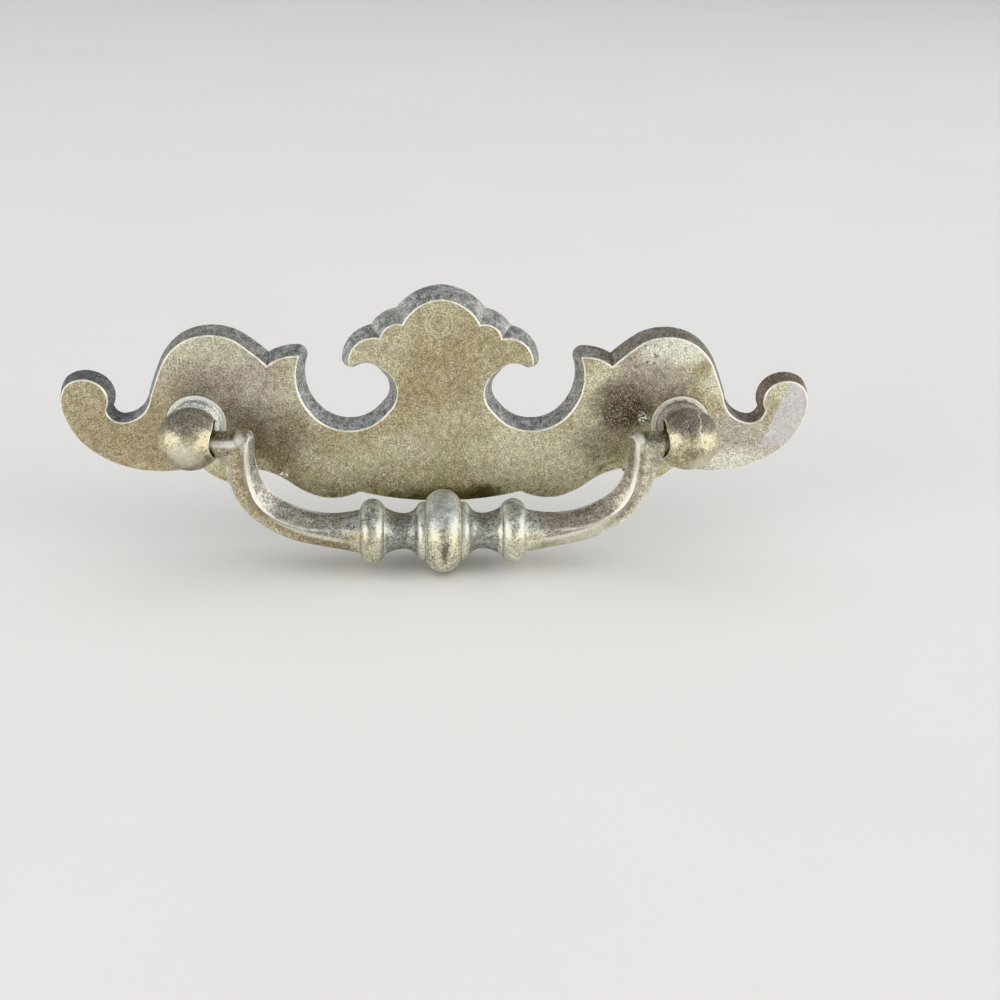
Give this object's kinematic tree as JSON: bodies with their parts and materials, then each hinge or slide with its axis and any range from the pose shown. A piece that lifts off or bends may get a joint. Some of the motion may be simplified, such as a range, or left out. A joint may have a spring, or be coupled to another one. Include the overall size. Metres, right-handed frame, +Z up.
{
  "type": "bail pull",
  "caption": "Cast brass bail pull with a shaped back plate, ball-headed posts and a beaded swinging bail.",
  "frame": {"origin": "midway between the two posts, on the mounting face of the back plate", "axes": "+X to the right along the two posts, +Y back into the drawer front, +Z up"},
  "size_m": [0.1284, 0.0223, 0.0476],
  "materials": {
    "plate_brass": "aged, matt",
    "post_brass": "worn satin",
    "bail_brass": "worn satin"
  },
  "bodies": {
    "plate": {"backplate": "plate_brass", "post_left": "post_brass", "post_right": "post_brass"},
    "bail": {"bail": "bail_brass"}
  },
  "joints": [
    {"name": "bail_swing", "type": "hinge", "parent": "plate", "child": "bail", "pos_m": [0, -0.0104, -0.00093], "axis": [-1, 0, 0], "range_deg": [-1.2, 178]}
  ]
}
